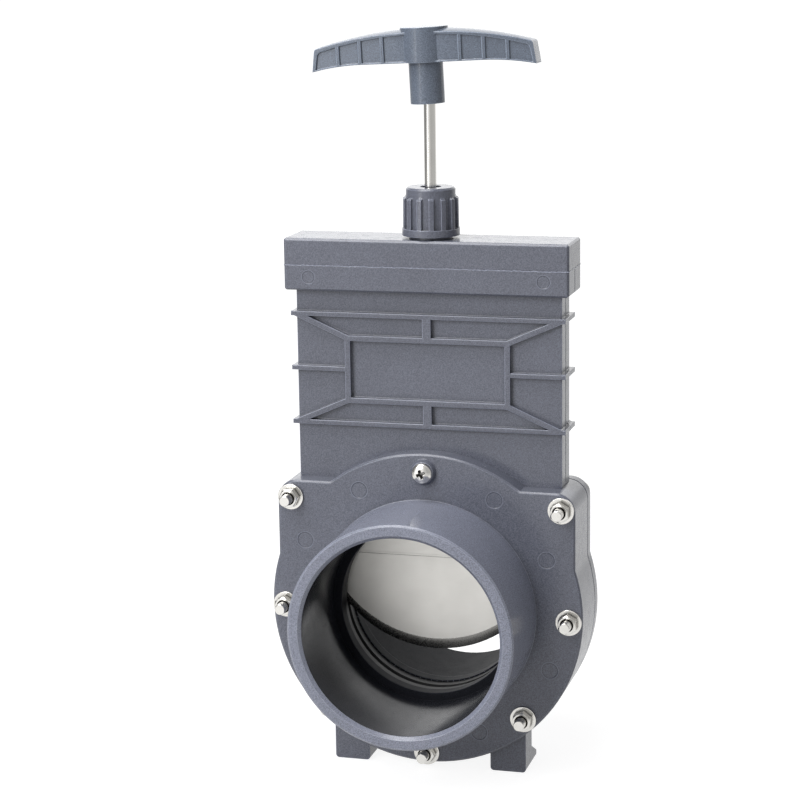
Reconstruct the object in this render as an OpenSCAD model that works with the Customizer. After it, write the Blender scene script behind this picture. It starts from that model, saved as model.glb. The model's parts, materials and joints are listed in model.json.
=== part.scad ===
// Slide valve for a glued plastic pipe. A stainless gate runs between two bolted
// socket bodies and is drawn up into a flat tower by a T handle on a plain rod.
// Z runs up the rod, Y runs along the pipe, and the feet stand on Z = 0.

/* [Pipe sockets] */
// Outside diameter of the pipe that is glued in
pipe_d = 90; // [86:1:94]
// How much wider the socket is than the pipe
pipe_gap = 0.2; // [0.1:0.05:0.6]
// Depth of each socket
socket_depth = 51; // [40:1:60]
// Wall of each socket
socket_wall = 6.3; // [5:0.1:8]
// Step from the socket down to the waterway
shoulder_step = 3.8; // [3:0.1:6]
// Distance from the gate's middle plane to each shoulder
shoulder_y = 12.5; // [11:0.5:14]
// Lead-in chamfer at each mouth
mouth_chamfer = 1.5; // [0.5:0.1:2.5]

/* [Seals and gate] */
// How far the seal lies back from the waterway
seal_back = 0.7; // [0.4:0.1:2]
// Width of the seal ring
seal_w = 7; // [5:0.5:8]
// Depth of the seat that holds the seal
seal_seat = 2; // [1.5:0.1:3]
// Thickness of the gate
gate_t = 3; // [2:0.1:4]
// Gap between the gate and each seal
seal_gap = 0.2; // [0.1:0.05:0.4]
// How far the gate laps over the seals
gate_lap = 5.8; // [4:0.1:8]
// Height of the clevis above the seals when the gate is shut
clevis_clear = 0.6; // [0.4:0.1:2]
// Height of the bevel along the gate's lower edge
gate_bevel = 5; // [3:0.5:7]
// Thickness left at the bevelled edge
gate_edge_t = 0.8; // [0.4:0.1:1.5]
// Gap between the gate and the side walls it runs in
gate_side_gap = 0.3; // [0.2:0.1:0.6]
// How far the gate is lifted in the drawn position
gate_lift = 31.3; // [5:0.1:90]

/* [Flanges] */
// Distance from the gate's middle plane to each flange face
face_y = 18; // [16.5:0.5:20]
// Thickness of the rear flange, which closes the front one
rear_flange_t = 7; // [6:0.5:8.5]
// From the gate's chamber to the circle of lower bolts
bolt_circle_out = 11.3; // [11:0.1:14]
// From the circle of lower bolts to the flange rim
rim_out = 6.3; // [6:0.1:8]
// How far the bottom bolt sits below that circle
bottom_bolt_drop = 1.4; // [0:0.1:2]
// From the tower's tongue out to the two ear bolts
ear_bolt_out = 5; // [4.5:0.1:7]
// From the ear bolts to the ears' side edges
ear_edge = 6.3; // [5.5:0.1:8]
// From the tongue's lower end up to the ears' top edge
ear_up = 5.7; // [4.5:0.1:9]
// From the ears' top edge down to the ear bolts
ear_bolt_down = 7.8; // [7:0.1:10]
// Corner radius of the ears
ear_r = 9; // [6:0.5:10]
// Angle from the bottom bolt to the next ones
low_bolt_angle = 43.2; // [38:0.2:48]
// Angle from the bottom bolt to the side ones
side_bolt_angle = 88.8; // [84:0.2:92]
// Chamfer along the rims
rim_chamfer = 0.8; // [0.4:0.1:1.2]

/* [Feet] */
// Gap from the flange rim down to the floor
foot_gap = 3.3; // [1:0.1:8]
// Distance from the middle to each foot's inner side
foot_in = 28.8; // [24:0.2:32]
// Width of each foot
foot_w = 16.6; // [12:0.2:20]
// How far each foot's front lies behind the front flange face
foot_back = 4.9; // [3:0.1:7]
// Depth of each foot's upright
foot_post = 12.6; // [10:0.2:14]
// Depth of each foot's pad
foot_pad = 22.6; // [18:0.2:24]
// Corner radius under each foot
foot_r = 1.6; // [0.8:0.1:2.5]

/* [Tower] */
// Depth of the chamber that the gate rises in
chamber_d = 8.8; // [8:0.2:9.4]
// Wall of the tower's broad faces
tower_wall = 3.5; // [2.5:0.1:4.5]
// Wall of the tower's narrow sides
tower_side = 6.2; // [5:0.1:7]
// Wall of the tongue that enters the flanges
tongue_side = 2.8; // [2.2:0.1:3.2]
// From the seals up to the tongue's lower end
tongue_up = 3; // [2:0.5:5]
// How far the ribs stand out in front and at the back
rib_out = 2.6; // [1.5:0.1:3.5]
// How far the ribs stand out at the sides
rib_side = 2.1; // [1:0.1:3]
// Thickness of the ribs
rib_t = 2; // [1.5:0.1:3]
// From the collar down to the middle of the top rib
rib_drop = 11; // [8:0.5:16]
// Spacing of the three ribs
rib_pitch = 25; // [20:0.5:28]
// Half width of the framed panel
panel_half_w = 38.2; // [30:0.2:44]
// Height of the framed panel
panel_h = 31; // [26:0.5:36]
// Width of the panel's frame and of the stays
frame_w = 2.4; // [1.6:0.1:3.2]
// Width of the short upright stays
stay_w = 3.9; // [2:0.1:5]
// Depth of the grooves along the seams
seam_groove = 0.5; // [0.2:0.1:0.8]

/* [Cap] */
// How far the cap stands out past the tower's narrow sides
cap_side = 4.1; // [2.5:0.1:6]
// How far the cap stands out past the tower's broad faces
cap_out = 5.2; // [3.5:0.1:7]
// Height of the collar around the tower's top
collar_h = 11.4; // [8:0.2:14]
// Height of the lid
lid_h = 12.2; // [10:0.1:15]
// Thickness of the lid's roof
lid_roof = 4.5; // [3:0.1:6]
// Chamfer along the cap's edges
cap_chamfer = 0.9; // [0.5:0.1:2]

/* [Gland] */
// Radius of the lid's threaded neck
neck_r = 9.9; // [9:0.1:11]
// Height of the neck
neck_h = 16.8; // [14:0.1:19]
// Radius of the packing
packing_r = 6.4; // [5.5:0.1:7]
// Height of the packing
packing_h = 7; // [5:0.5:9]
// Thickness of the follower's flange
follower_t = 2.9; // [2:0.1:4]
// Gap between the lid and the gland nut
nut_lift = 1.3; // [1:0.1:4]
// Wall of the gland nut
gland_wall = 1.35; // [1.1:0.05:2.5]
// How far the grip ribs stand out of the gland nut
grip_out = 1.2; // [0.5:0.05:1.6]
// Width of a grip rib
grip_w = 2.2; // [1.4:0.1:2.8]
// Number of grip ribs
grip_count = 14; // [10:1:16]
// Height of the gland nut's base ring
base_ring_h = 3.2; // [2:0.1:4.5]
// Height of the gland nut's plain collar
gland_collar_h = 3.4; // [2:0.1:4.5]
// Radius of the hole in the gland nut's top
gland_hole_r = 4.8; // [4:0.1:5.5]

/* [Rod and handle] */
// Diameter of the rod
rod_d = 5.4; // [5:0.1:6]
// Gap between the handle and the gland nut when the gate is shut
handle_gap = 5.7; // [1:0.1:12]
// How far the rod enters the handle
rod_in = 15; // [10:0.5:24]
// Radius of the handle's stem
stem_r = 7.65; // [6.5:0.05:9]
// Length of the handle's stem
stem_h = 18.3; // [12:0.1:24]
// Radius of the handle's hub
hub_r = 10.7; // [9.5:0.1:13]
// Height of the hub
hub_h = 15.3; // [14:0.1:20]
// Half length of the handle's bar along its underside
bar_half = 51; // [45:0.5:56]
// How far the bar's end faces slant inwards
bar_slant = 1.2; // [0:0.1:3]
// Depth of the bar at the hub
bar_d = 17; // [14:0.2:19]
// Depth of the bar at its ends
bar_end_d = 10; // [8:0.2:13]
// Height of the bar at the hub
bar_h = 14.8; // [12:0.1:15.2]
// Radius of the bar's arched top
bar_arc = 180; // [150:5:260]
// Radius of the crown across the bar's top
bar_crown = 26; // [20:1:40]
// Radius of the bar's upright corners
bar_end_r = 0.8; // [0.5:0.1:3]
// Radius of the bar's upper corners
bar_top_r = 2.4; // [1.5:0.1:4]
// Distance from the middle to where the underside starts to droop
droop_from = 27; // [20:1:34]
// Radius of the underside's droop
droop_r = 114; // [100:1:160]
// Depth of the grip pockets in the bar
pocket_d = 0.8; // [0.5:0.1:1.4]
// Rim left below the pockets
pocket_rim = 0.6; // [0.4:0.1:1.5]
// Rim left at the bar's ends
pocket_end = 1.3; // [0.8:0.1:2.5]
// From the bar's arched top down to the pockets
pocket_drop = 2.3; // [1.8:0.1:4]
// Distance from the middle to the first grip rib
bar_rib_first = 17.6; // [15:0.1:18]
// Spacing of the bar's grip ribs
bar_rib_pitch = 10.5; // [9:0.1:11]
// Width of the bar's grip ribs
bar_rib_w = 1.5; // [1.2:0.1:2.4]
// Lean of the handle on its thread, in degrees
handle_lean = 2.5; // [0:0.1:3]

/* [Fasteners] */
// Thread diameter of the flange bolts
bolt_d = 5; // [4.5:0.5:6]
// Length of the flange bolts under the head
bolt_len = 47.4; // [45:0.2:52]
// Width across flats of bolt heads and nuts
hex_af = 8; // [8:0.5:10]
// Height of the bolt heads
head_h = 3.5; // [3:0.1:5]
// Height of the nuts
hex_nut_h = 4; // [3.5:0.1:6]
// Diameter of the washers
washer_d = 12; // [11:0.5:12]
// Thickness of the washers
washer_t = 1; // [0.8:0.1:2]
// Clearance around bolts in their holes
bolt_gap = 0.2; // [0.1:0.05:0.3]
// Head diameter of the cross-recess screws
screw_head_d = 9.5; // [8:0.1:10]
// Shank diameter of the cross-recess screws
screw_d = 4.8; // [4:0.1:5]
// From the ears' top edge up to the cross-recess screws
screw_up = 6.8; // [5.5:0.1:8]
// Height of the bosses under those screws
screw_boss_h = 2.4; // [1.5:0.1:4]

/* [Fits] */
// Gap between fixed pieces that fit into each other
fit = 0.1; // [0.05:0.05:0.2]
// Running gap around the rod and under the gland nut
run = 0.06; // [0.03:0.01:0.1]

/* [Hidden] */
$fn = 64;
eps = 0.01;
over = 40;

// Sizes that follow from the pipe outwards
socket_r = (pipe_d + pipe_gap) / 2;
socket_outer_r = socket_r + socket_wall;
mouth_y = shoulder_y + socket_depth;
waterway_r = socket_r - shoulder_step;
seal_in_r = waterway_r + seal_back;
seal_out_r = seal_in_r + seal_w;
gate_r = seal_out_r + gate_lap;
chamber_half_w = gate_r + gate_side_gap;
chamber_half_d = chamber_d / 2;
seat_y = chamber_half_d + seal_seat;
split_y = face_y - rear_flange_t;
tongue_z = seal_out_r + tongue_up;
ear_top = tongue_z + ear_up;
screw_z = ear_top + screw_up;

// Flange and bolts
tongue_half_w = chamber_half_w + tongue_side;
bolt_circle_r = chamber_half_w + bolt_circle_out;
flange_r = bolt_circle_r + rim_out;
bore_z = flange_r + foot_gap;
ear_bolt_x = tongue_half_w + ear_bolt_out;
ear_half_w = ear_bolt_x + ear_edge;
bolt_places = concat(
    [[-ear_bolt_x, ear_top - ear_bolt_down], [ear_bolt_x, ear_top - ear_bolt_down]],
    [for (a = [-side_bolt_angle, -low_bolt_angle, low_bolt_angle, side_bolt_angle]) bolt_circle_r * [sin(a), -cos(a)]],
    [[0, -bolt_circle_r - bottom_bolt_drop]]
);
bolt_count = len(bolt_places);

// Tower and cap, all above the bore axis
tower_half_d = chamber_half_d + tower_wall;
tower_half_w = chamber_half_w + tower_side;
gate_travel = waterway_r + gate_r;
clevis_rise = 8;
clevis_drop = 9;
clevis_side = 8.2;
gate_top = seal_out_r + clevis_clear + clevis_drop;
roof_gap = 1;
roof_z = gate_travel + gate_top + clevis_rise + roof_gap;
lid_top = roof_z + lid_roof;
lid_z = lid_top - lid_h;
collar_z = lid_z - collar_h;
cap_half_w = tower_half_w + cap_side;
cap_half_d = tower_half_d + cap_out;
top_rib_z = collar_z - rib_drop;
panel_z = top_rib_z - rib_pitch;

// Gland
rod_r = rod_d / 2;
packing_z = lid_top + neck_h - packing_h - 3;
follower_z = lid_top + neck_h;
gland_z = lid_top + nut_lift;
gland_in_r = neck_r + fit;
gland_body_r = gland_in_r + gland_wall;
grip_r = gland_body_r + grip_out;
gland_roof_z = follower_z + follower_t + fit;
gland_top = gland_roof_z + 3;
gland_neck_r = gland_body_r - 0.25;

// Handle at the drawn lift
handle_z = gland_top + handle_gap + gate_lift;
hub_z = handle_z + stem_h;
rod_low = gate_lift + gate_top + 2.5;
rod_high = handle_z + rod_in;
crest_z = hub_z + bar_h;

pvc = [0.44, 0.46, 0.5];
steel = [0.78, 0.77, 0.74];
rubber = [0.06, 0.06, 0.06];

// Lifts what is drawn around the bore axis to its height above the feet
module at_bore() {
    translate([0, 0, bore_z]) children();
}

// Extrudes an X-Z outline along Y, from y0 to y1
module along_y(y0, y1) {
    translate([0, y1, 0]) rotate([90, 0, 0]) linear_extrude(y1 - y0) children();
}

// Turns a profile of radius and forward distance about the bore axis
module about_bore() {
    rotate([90, 0, 0]) rotate_extrude($fn = 128) children();
}

// Front for dir = 1, back for dir = -1
module facing(dir) {
    if (dir > 0) children();
    else mirror([0, 1, 0]) children();
}

// Upright box between two corners
module block(low, high) {
    translate(low) cube(high - low);
}

// Ears with rounded corners between two planes, chamfered at y0 and grooved at the seam
module ears(y0, y1) {
    c = rim_chamfer;
    g = seam_groove;
    r = ear_r;
    half = ear_half_w;
    linear_extrude(ear_top - r) polygon([
        [-half + g, y1], [-half, y1 - g], [-half, y0 + c], [-half + c, y0],
        [half - c, y0], [half, y0 + c], [half, y1 - g], [half - g, y1]
    ]);
    translate([-half + r, 0, 0]) rotate([90, 0, 90]) linear_extrude(2 * (half - r)) polygon([
        [y1, 0], [y0, 0], [y0, ear_top - c], [y0 + c, ear_top], [y1 - g, ear_top], [y1, ear_top - g]
    ]);
    for (side = [-1, 1]) translate([side * (half - r), 0, ear_top - r]) about_bore()
        polygon([[0, -y1], [r - g, -y1], [r, -y1 + g], [r, -y0 - c], [r - c, -y0], [0, -y0]]);
}

// Solid of the flange outline between two planes, chamfered at y0 and grooved at the seam
module flange_block(y0, y1) {
    c = rim_chamfer;
    g = seam_groove;
    about_bore() polygon([
        [0, -y1], [flange_r - g, -y1], [flange_r, -y1 + g], [flange_r, -y0 - c], [flange_r - c, -y0], [0, -y0]
    ]);
    ears(y0, y1);
}

// Tube of the socket from the flange to its mouth
module socket_tube() {
    lip = rim_chamfer;
    about_bore() polygon([
        [waterway_r, shoulder_y], [socket_outer_r, shoulder_y], [socket_outer_r, mouth_y - lip],
        [socket_outer_r - lip, mouth_y], [waterway_r, mouth_y]
    ]);
}

// What the pipe, the water and the seal need cut out of one body
module bore_cut() {
    about_bore() polygon([
        [0, -over], [waterway_r, -over], [waterway_r, shoulder_y], [socket_r, shoulder_y],
        [socket_r, mouth_y - mouth_chamfer], [socket_r + mouth_chamfer, mouth_y], [socket_r + mouth_chamfer, mouth_y + over],
        [0, mouth_y + over]
    ]);
    about_bore() polygon([
        [0, -over], [seal_out_r + fit, -over], [seal_out_r + fit, seat_y], [0, seat_y]
    ]);
}

module bolt_holes() {
    for (p = bolt_places) translate([p[0], 0, p[1]]) rotate([90, 0, 0])
        cylinder(h = 2 * face_y + 2, r = bolt_d / 2 + bolt_gap, center = true);
}

module screw_boss() {
    translate([0, -face_y, screw_z]) rotate([90, 0, 0])
        cylinder(h = screw_boss_h, r1 = screw_head_d / 2 + 1.2, r2 = screw_head_d / 2 + 0.2);
}

module screw_hole() {
    translate([0, 0, screw_z]) rotate([90, 0, 0]) cylinder(h = over, r = screw_d / 2 + fit);
}

// Foot with an upright under the rim and a low pad that runs back
module foot(side) {
    front = -face_y + foot_back;
    x0 = side > 0 ? foot_in : -foot_in - foot_w;
    pad_low = 3.3;
    pad_high = 8.6;
    high = bore_z - waterway_r;
    translate([x0, 0, -bore_z]) intersection() {
        rotate([90, 0, 90]) linear_extrude(foot_w) polygon([
            [front, 0], [front + foot_pad, 0], [front + foot_pad, pad_low],
            [front + foot_post, pad_high], [front + foot_post, high], [front, high]
        ]);
        along_y(front, front + foot_pad) {
            translate([foot_r, 0]) square([foot_w - 2 * foot_r, high]);
            translate([0, foot_r]) square([foot_w, high]);
            for (x = [foot_r, foot_w - foot_r]) translate([x, foot_r]) circle(foot_r);
        }
    }
}

// Chamber for the gate, open at the top
module gate_chamber(y0, y1, gap = 0) {
    r = chamber_half_w + gap;
    along_y(y0, y1) {
        circle(r, $fn = 128);
        translate([-r, 0]) square([2 * r, ear_top + over]);
    }
}

// Socket body with the pocket that the gate and the tower's tongue stand in
module front_body() color(pvc) at_bore() difference() {
    union() {
        flange_block(-face_y, split_y);
        socket_tube();
        for (side = [-1, 1]) foot(side);
        screw_boss();
    }
    bore_cut();
    gate_chamber(-chamber_half_d, split_y + 1);
    block([-tongue_half_w - fit, -tower_half_d - fit, tongue_z - fit], [tongue_half_w + fit, split_y + 1, ear_top + over]);
    bolt_holes();
    screw_hole();
}

// Socket body whose cover plate closes the pocket behind the gate
module rear_body() color(pvc) at_bore() difference() {
    union() {
        facing(-1) flange_block(-face_y, -split_y);
        facing(-1) socket_tube();
        facing(-1) screw_boss();
        intersection() {
            along_y(chamber_half_d, split_y + eps) {
                circle(chamber_half_w - fit, $fn = 128);
                translate([-chamber_half_w + fit, 0]) square([2 * (chamber_half_w - fit), tongue_z - 2 * fit]);
            }
            block([-over * 2, 0, -over * 2], [over * 2, face_y, tongue_z - 2 * fit]);
        }
        intersection() {
            block([-tongue_half_w, tower_half_d + fit, tongue_z - 2 * fit], [tongue_half_w, split_y + eps, flange_r]);
            facing(-1) flange_block(-face_y, 0);
        }
    }
    facing(-1) bore_cut();
    bolt_holes();
    facing(-1) screw_hole();
}

// Straight bar in an X-Z outline
module stay(p, q, w) {
    d = q - p;
    n = [-d[1], d[0]] * (w / 2 / norm(d));
    polygon([p - n, q - n, q + n, p + n]);
}

// Ribs, framed panel and stays on the front shell
module tower_ribs() {
    y0 = -tower_half_d - rib_out;
    half_w = tower_half_w + rib_side;
    frame_top = panel_z + panel_h / 2;
    frame_low = panel_z - panel_h / 2;
    low_rib_z = panel_z - rib_pitch;
    for (z = [top_rib_z, low_rib_z]) block([-half_w, y0, z - rib_t / 2], [half_w, 0, z + rib_t / 2]);
    for (side = [-1, 1]) {
        reach = half_w - panel_half_w + frame_w / 2;
        middle = side * (panel_half_w - frame_w / 2 + reach / 2);
        translate([middle, y0 / 2, panel_z]) cube([reach, -y0, rib_t], center = true);
        along_y(y0, -chamber_half_d - eps) {
            stay([side * (panel_half_w - frame_w / 2), frame_top - frame_w / 2], [side * tower_half_w, top_rib_z], frame_w);
            stay([side * (panel_half_w - frame_w / 2), frame_low + frame_w / 2], [side * tower_half_w, low_rib_z], frame_w);
        }
    }
    along_y(y0, -chamber_half_d - eps) {
        difference() {
            translate([-panel_half_w, frame_low]) square([2 * panel_half_w, panel_h]);
            translate([-panel_half_w + frame_w, frame_low + frame_w])
                square([2 * (panel_half_w - frame_w), panel_h - 2 * frame_w]);
        }
        stay([0, frame_top - frame_w / 2], [0, top_rib_z], stay_w);
        stay([0, frame_low + frame_w / 2], [0, low_rib_z], stay_w);
    }
}

// Upright V groove along the seam between the shells
module seam(x, z0, z1) {
    w = seam_groove * sqrt(2);
    translate([x, 0, (z0 + z1) / 2]) rotate([0, 0, 45]) cube([w, w, z1 - z0], center = true);
}

// One moulded shell of the tower, from its tongue to its collar
module tower_shell() {
    difference() {
        union() {
            block([-tongue_half_w, -tower_half_d, tongue_z], [tongue_half_w, 0, ear_top + 1]);
            block([-tower_half_w, -tower_half_d, ear_top + fit], [tower_half_w, 0, collar_z + eps]);
            tower_ribs();
            intersection() {
                block([-cap_half_w, -cap_half_d, collar_z], [cap_half_w, 0, lid_z]);
                cap_chamfers(collar_z, lid_z + over);
            }
        }
        block([-chamber_half_w, -chamber_half_d, 0], [chamber_half_w, eps, lid_z + 1]);
        for (side = [-1, 1]) {
            seam(side * tower_half_w, ear_top + 1, collar_z - 1);
            seam(side * cap_half_w, collar_z - 1, lid_z + 1);
        }
        screw_hole();
    }
}

// Box with chamfered upright, top and bottom edges that trims the collar and the lid
module cap_chamfers(z0, z1) {
    c = cap_chamfer;
    w = cap_half_w;
    d = cap_half_d;
    intersection() {
        translate([0, 0, z0]) linear_extrude(z1 - z0) polygon([
            [-w + c, -d], [w - c, -d], [w, -d + c], [w, d - c], [w - c, d], [-w + c, d], [-w, d - c], [-w, -d + c]
        ]);
        along_y(-d, d) polygon([
            [-w + c, z0], [w - c, z0], [w, z0 + c], [w, z1 - c], [w - c, z1], [-w + c, z1], [-w, z1 - c], [-w, z0 + c]
        ]);
        translate([-w, 0, 0]) rotate([90, 0, 90]) linear_extrude(2 * w) polygon([
            [-d + c, z0], [d - c, z0], [d, z0 + c], [d, z1 - c], [d - c, z1], [-d + c, z1], [-d, z1 - c], [-d, z0 + c]
        ]);
    }
}

module tower_front_shell() color(pvc) at_bore() tower_shell();

module tower_rear_shell() color(pvc) at_bore() facing(-1) tower_shell();

module tower_lid() color(pvc) at_bore() difference() {
    union() {
        intersection() {
            block([-cap_half_w, -cap_half_d, lid_z], [cap_half_w, cap_half_d, lid_top]);
            cap_chamfers(lid_z - over, lid_top);
        }
        translate([0, 0, lid_top - eps]) cylinder(h = neck_h + eps, r = neck_r);
    }
    block([-chamber_half_w, -chamber_half_d - tower_wall / 2, lid_z - 1], [chamber_half_w, chamber_half_d + tower_wall / 2, roof_z]);
    translate([0, 0, roof_z - 1]) cylinder(h = over, r = rod_r + run);
    translate([0, 0, packing_z]) cylinder(h = over, r = packing_r + fit);
}

module gland_packing() color(rubber) at_bore() difference() {
    translate([0, 0, packing_z]) cylinder(h = packing_h, r = packing_r);
    translate([0, 0, packing_z - 1]) cylinder(h = packing_h + 2, r = rod_r + run);
}

module gland_follower() color(pvc) at_bore() difference() {
    union() {
        translate([0, 0, packing_z + packing_h]) cylinder(h = follower_z - packing_z - packing_h + 1, r = packing_r);
        translate([0, 0, follower_z]) cylinder(h = follower_t, r = neck_r - 0.5);
    }
    translate([0, 0, packing_z]) cylinder(h = over, r = rod_r + run);
}

// Ribbed plastic nut that presses the follower down
module gland_nut() color(pvc) at_bore() difference() {
    ring_z = gland_z + base_ring_h;
    collar_low = gland_top - gland_collar_h;
    rib_top = collar_low - 0.6;
    c = rim_chamfer;
    union() {
        rotate_extrude() polygon([
            [0, gland_z], [grip_r + 0.4, gland_z], [grip_r + 0.4, ring_z], [gland_body_r, ring_z],
            [gland_body_r, collar_low - 0.5], [gland_neck_r, collar_low], [gland_neck_r, gland_top - c],
            [gland_neck_r - c, gland_top], [0, gland_top]
        ]);
        intersection() {
            for (i = [0:grip_count - 1]) rotate([0, 0, 360 * (i + 0.1) / grip_count])
                translate([gland_body_r - 1, -grip_w / 2, ring_z - 0.3])
                    cube([grip_out + 2, grip_w, rib_top - ring_z + 0.3]);
            rotate_extrude() polygon([
                [0, ring_z - 1], [grip_r + 0.2, ring_z - 1], [grip_r, rib_top - 1], [gland_body_r - 0.5, rib_top], [0, rib_top]
            ]);
        }
    }
    translate([0, 0, gland_z - 1]) cylinder(h = gland_roof_z - gland_z + 1, r = gland_in_r);
    translate([0, 0, gland_z]) cylinder(h = over, r = gland_hole_r);
}

module seal() {
    about_bore() polygon([
        [seal_in_r, gate_t / 2 + seal_gap], [seal_out_r, gate_t / 2 + seal_gap], [seal_out_r, seat_y], [seal_in_r, seat_y]
    ]);
}

module front_seal() color(rubber) at_bore() seal();

module rear_seal() color(rubber) at_bore() facing(-1) seal();

// Upright plate outline with a round lower end about a centre raised by an amount
module gate_outline(raise) {
    translate([0, raise]) circle(gate_r, $fn = 96);
    translate([-gate_r, raise]) square([2 * gate_r, gate_top - raise]);
}

// Gate whose round lower end is bevelled to a blunt edge on both faces
module gate_plate() color(steel) at_bore() translate([0, 0, gate_lift]) {
    t = gate_t / 2;
    e = gate_edge_t / 2;
    difference() {
        hull() {
            intersection() {
                along_y(-e, e) gate_outline(0);
                block([-gate_r, -t, -gate_r], [gate_r, t, 0]);
            }
            intersection() {
                along_y(-t, t) gate_outline(gate_bevel);
                block([-gate_r, -t, -gate_r], [gate_r, t, gate_top]);
            }
        }
        for (k = [1:2]) translate([0, 0, rivet_z(k)]) rotate([90, 0, 0])
            cylinder(h = over, r = rivet_r + fit, center = true);
        block([-gate_r - 1, -t - 1, crease_z - 0.5], [gate_r + 1, -t + 0.2, crease_z + 0.5]);
    }
}

// Rivets that hold the gate in the slot of the clevis, above the gate's own middle
rivet_r = 1.6;
crease_z = -10.2;
function rivet_z(k) = gate_top - clevis_drop + 2.4 + (k - 1) * 4.2;

module stem_clevis() color(steel) at_bore() translate([0, 0, gate_lift]) {
    low = gate_top - clevis_drop;
    high = gate_top + clevis_rise;
    difference() {
        block([-clevis_side, -clevis_side / 2, low], [clevis_side, clevis_side / 2, high]);
        block([-clevis_side - 1, -gate_t / 2 - fit, low - 1], [clevis_side + 1, gate_t / 2 + fit, gate_top + fit]);
        translate([0, 0, rod_low - gate_lift - fit]) cylinder(h = over, r = rod_r + fit / 2);
        for (k = [1:2]) translate([0, 0, rivet_z(k)]) rotate([90, 0, 0])
            cylinder(h = over, r = rivet_r + fit, center = true);
    }
}

module clevis_rivet(k) color(steel) at_bore() translate([0, 0, gate_lift + rivet_z(k)]) rotate([90, 0, 0])
    cylinder(h = clevis_side, r = rivet_r, center = true);

module rod() color(steel) at_bore() translate([0, 0, rod_low]) cylinder(h = rod_high - rod_low, r = rod_r);

// Outline seen from the front: flat under the hub, drooping outwards, arched on top
module bar_side(half, rim = 0, drop = 0) {
    r = bar_top_r;
    cx = half - bar_slant - r;
    cz = crest_z - bar_arc + sqrt(pow(bar_arc, 2) - pow(cx, 2)) - 1.1 * r - drop;
    corner = [for (t = [8:12:56]) [cx + r * cos(t), cz + r * sin(t)]];
    last = corner[len(corner) - 1];
    right = concat([[half + 0.5, hub_z - 6]], corner, [last + (crest_z + 1 - last[1]) * [-tan(56), 1]]);
    outline = concat(right, [for (k = [len(right) - 1:-1:0]) [-right[k][0], right[k][1]]]);
    difference() {
        intersection() {
            polygon(outline);
            translate([0, crest_z - bar_arc]) circle(bar_arc - drop, $fn = 256);
        }
        translate([-droop_from, hub_z - 7]) square([2 * droop_from, 7 + rim]);
        for (side = [-1, 1]) translate([side * droop_from, hub_z + rim - droop_r]) circle(droop_r, $fn = 256);
    }
}

// Tapering plan of the bar, drawn in by an inset, with rounded ends
module bar_plan(inset = 0) {
    half = bar_half + 0.5;
    d = bar_d / 2 - inset;
    e = bar_end_d / 2 - inset;
    r = bar_end_r;
    a = atan((d - e) / (half - hub_r));
    y = (sin(a) * hub_r + cos(a) * d - r - sin(a) * (half - r)) / cos(a);
    steps = 4;
    q = [for (k = [0:steps]) let (t = (90 - a) * (1 - k / steps)) [half - r + r * cos(t), y + r * sin(t)]];
    polygon(concat(
        [[-hub_r, d], [hub_r, d]], q, [for (k = [steps:-1:0]) [q[k][0], -q[k][1]]],
        [[hub_r, -d], [-hub_r, -d]], -q, [for (k = [steps:-1:0]) [-q[k][0], q[k][1]]]
    ));
}

// Bar with an arched and crowned top
module handle_bar() {
    half_d = bar_d / 2;
    intersection() {
        along_y(-half_d, half_d) bar_side(bar_half);
        translate([0, 0, hub_z - 8]) linear_extrude(bar_h + 10) bar_plan();
        translate([0, 0, crest_z - bar_arc]) rotate([90, 0, 0]) rotate_extrude($fn = 256) intersection() {
            translate([0, -half_d]) square([bar_arc, 2 * half_d]);
            union() {
                translate([0, -half_d]) square([bar_arc - bar_crown / 2, 2 * half_d]);
                translate([bar_arc - bar_crown, 0]) circle(bar_crown, $fn = 128);
            }
        }
    }
}

// Shallow pockets between the bar's grip ribs, front and back
module grip_pockets() {
    ribs = [for (k = [0:2]) bar_rib_first + k * bar_rib_pitch];
    starts = concat([hub_r * 0.5], [for (x = ribs) x + bar_rib_w / 2]);
    ends = concat([for (x = ribs) x - bar_rib_w / 2], [bar_half]);
    difference() {
        along_y(-bar_d, bar_d) intersection() {
            bar_side(bar_half - pocket_end, pocket_rim, pocket_drop);
            for (k = [0:3]) for (side = [-1, 1])
                translate([side > 0 ? starts[k] : -ends[k], hub_z - 6]) square([ends[k] - starts[k], bar_h + 6]);
        }
        translate([0, 0, hub_z - 8]) linear_extrude(bar_h + 10) bar_plan(pocket_d);
    }
}

module handle() color(pvc) at_bore() difference() {
    translate([0, 0, handle_z - stem_h]) rotate([0, -handle_lean, 0]) translate([0, 0, stem_h - handle_z]) union() {
        difference() {
            handle_bar();
            grip_pockets();
        }
        translate([0, 0, hub_z]) cylinder(h = hub_h, r = hub_r);
        translate([0, 0, handle_z]) cylinder(h = stem_h + 1, r = stem_r);
    }
    translate([0, 0, handle_z - over]) cylinder(h = over + rod_in + fit, r = rod_r + fit / 2);
}

// Hexagon with its corners turned off at the far end
module hexagon(h) {
    intersection() {
        cylinder(h = h, r = hex_af / 2 / cos(30), $fn = 6);
        union() {
            cylinder(h = h - 1, r = hex_af);
            translate([0, 0, h - 1]) cylinder(h = 1, r1 = hex_af / 2 + 1.6, r2 = hex_af / 2 - 0.2);
        }
    }
}

// Sets a fastener on its place in the bolt pattern, pointing forwards from y
module at_bolt(i, y) {
    p = bolt_places[i - 1];
    at_bore() translate([p[0], y, p[1]]) rotate([90, 0, 0]) children();
}

module bolt(i) color(steel) {
    at_bolt(i, face_y + washer_t) cylinder(h = bolt_len, r = bolt_d / 2);
    at_bolt(i, face_y + washer_t) mirror([0, 0, 1]) rotate([0, 0, 30 + 17 * i]) hexagon(head_h);
}

module bolt_nut(i) color(steel) at_bolt(i, -face_y - washer_t) difference() {
    rotate([0, 0, 30 + 23 * i]) hexagon(hex_nut_h);
    translate([0, 0, -1]) cylinder(h = hex_nut_h + 2, r = bolt_d / 2 + fit / 2);
}

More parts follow.
